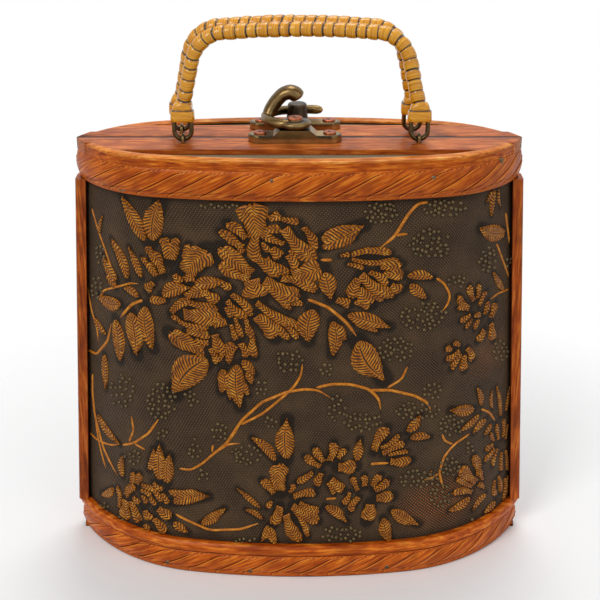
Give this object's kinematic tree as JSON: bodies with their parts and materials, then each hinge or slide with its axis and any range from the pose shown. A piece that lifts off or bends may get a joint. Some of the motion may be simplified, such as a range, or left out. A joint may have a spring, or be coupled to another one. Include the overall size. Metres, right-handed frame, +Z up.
{
  "type": "oval wooden box handbag",
  "caption": "Rigid oval box handbag of hinged wooden halves with embossed floral walls, carved rims, a swing latch and cane-wrapped handles on links.",
  "frame": {"origin": "on the floor, at the centre of the bag's outline", "axes": "+Z up, +X to the bag's right seen from the latch side, the front half at -Y"},
  "size_m": [0.2318, 0.0984, 0.2687],
  "materials": {
    "carved_wood": "satin varnish",
    "bar_wood": "worn varnish",
    "edging_cane": "varnish",
    "embossed_wall": "embossed, gilt on the raised flowers",
    "panel_cover": "matt",
    "lining": "plain cloth",
    "cane_wrap": "glossy cane strip",
    "bronze": "antiqued",
    "gunmetal": "dark, worn",
    "copper": "dull copper",
    "hinge_brass": "dull",
    "steel": "plain"
  },
  "bodies": {
    "back_half": {"back_wall": "embossed_wall", "back_lining": "lining", "back_top_rim": "carved_wood", "back_top_band": "carved_wood", "back_top_edging": "edging_cane", "back_top_board": "panel_cover", "back_top_bar": "bar_wood", "back_bottom_rim": "carved_wood", "back_bottom_bead": "carved_wood", "back_bottom_board": "bar_wood", "back_bottom_bar": "bar_wood", "back_left_post": "carved_wood", "back_right_post": "carved_wood", "back_left_staple": "bronze", "back_right_staple": "bronze", "back_hinge_screws": "steel", "left_hinge_back_leaf": "hinge_brass", "right_hinge_back_leaf": "hinge_brass", "catch_base": "bronze", "catch_post": "gunmetal", "catch_screws": "copper", "left_hinge_pin": "steel", "right_hinge_pin": "steel"},
    "front_half": {"front_wall": "embossed_wall", "front_lining": "lining", "front_top_rim": "carved_wood", "front_top_band": "carved_wood", "front_top_edging": "edging_cane", "front_top_board": "panel_cover", "front_top_bar": "bar_wood", "front_bottom_rim": "carved_wood", "front_bottom_bead": "carved_wood", "front_bottom_board": "bar_wood", "front_bottom_bar": "bar_wood", "front_left_post": "carved_wood", "front_right_post": "carved_wood", "front_left_staple": "bronze", "front_right_staple": "bronze", "front_hinge_screws": "steel", "left_hinge_front_leaf": "hinge_brass", "right_hinge_front_leaf": "hinge_brass", "latch_base": "bronze", "latch_screws": "copper", "latch_rivet": "copper"},
    "latch_arm": {"latch_arm": "bronze"},
    "front_left_link": {"front_left_link": "bronze"},
    "front_right_link": {"front_right_link": "bronze"},
    "front_handle": {"front_handle_core": "steel", "front_handle_wrap": "cane_wrap"},
    "back_left_link": {"back_left_link": "bronze"},
    "back_right_link": {"back_right_link": "bronze"},
    "back_handle": {"back_handle_core": "steel", "back_handle_wrap": "cane_wrap"}
  },
  "joints": [
    {"name": "bag_open", "type": "hinge", "parent": "back_half", "child": "front_half", "pos_m": [0, 0, 0.0022], "axis": [1, 0, 0], "range_deg": [0, 110]},
    {"name": "latch_swing", "type": "hinge", "parent": "front_half", "child": "latch_arm", "pos_m": [-0.002, -0.0056, 0.2192], "axis": [0, 0, 1], "range_deg": [0, 100]},
    {"name": "front_left_link_swing", "type": "hinge", "parent": "front_half", "child": "front_left_link", "pos_m": [-0.0532, -0.008, 0.21435], "axis": [1, 0, 0], "range_deg": [0, 75]},
    {"name": "front_right_link_swing", "type": "hinge", "parent": "front_half", "child": "front_right_link", "pos_m": [0.0548, -0.008, 0.21435], "axis": [1, 0, 0], "range_deg": [0, 75]},
    {"name": "front_handle_swing", "type": "hinge", "parent": "front_left_link", "child": "front_handle", "pos_m": [-0.0532, -0.0071, 0.22511], "axis": [1, 0, 0], "range_deg": [0, 20]},
    {"name": "back_left_link_swing", "type": "hinge", "parent": "back_half", "child": "back_left_link", "pos_m": [-0.0552, 0.008, 0.21435], "axis": [-1, 0, 0], "range_deg": [0, 75]},
    {"name": "back_right_link_swing", "type": "hinge", "parent": "back_half", "child": "back_right_link", "pos_m": [0.0528, 0.008, 0.21435], "axis": [-1, 0, 0], "range_deg": [0, 75]},
    {"name": "back_handle_swing", "type": "hinge", "parent": "back_left_link", "child": "back_handle", "pos_m": [-0.0552, 0.0071, 0.22511], "axis": [-1, 0, 0], "range_deg": [0, 20]}
  ],
  "couplings": [
    {"joint": "front_right_link_swing", "follows": "front_left_link_swing", "ratio": 1},
    {"joint": "back_right_link_swing", "follows": "back_left_link_swing", "ratio": 1}
  ]
}
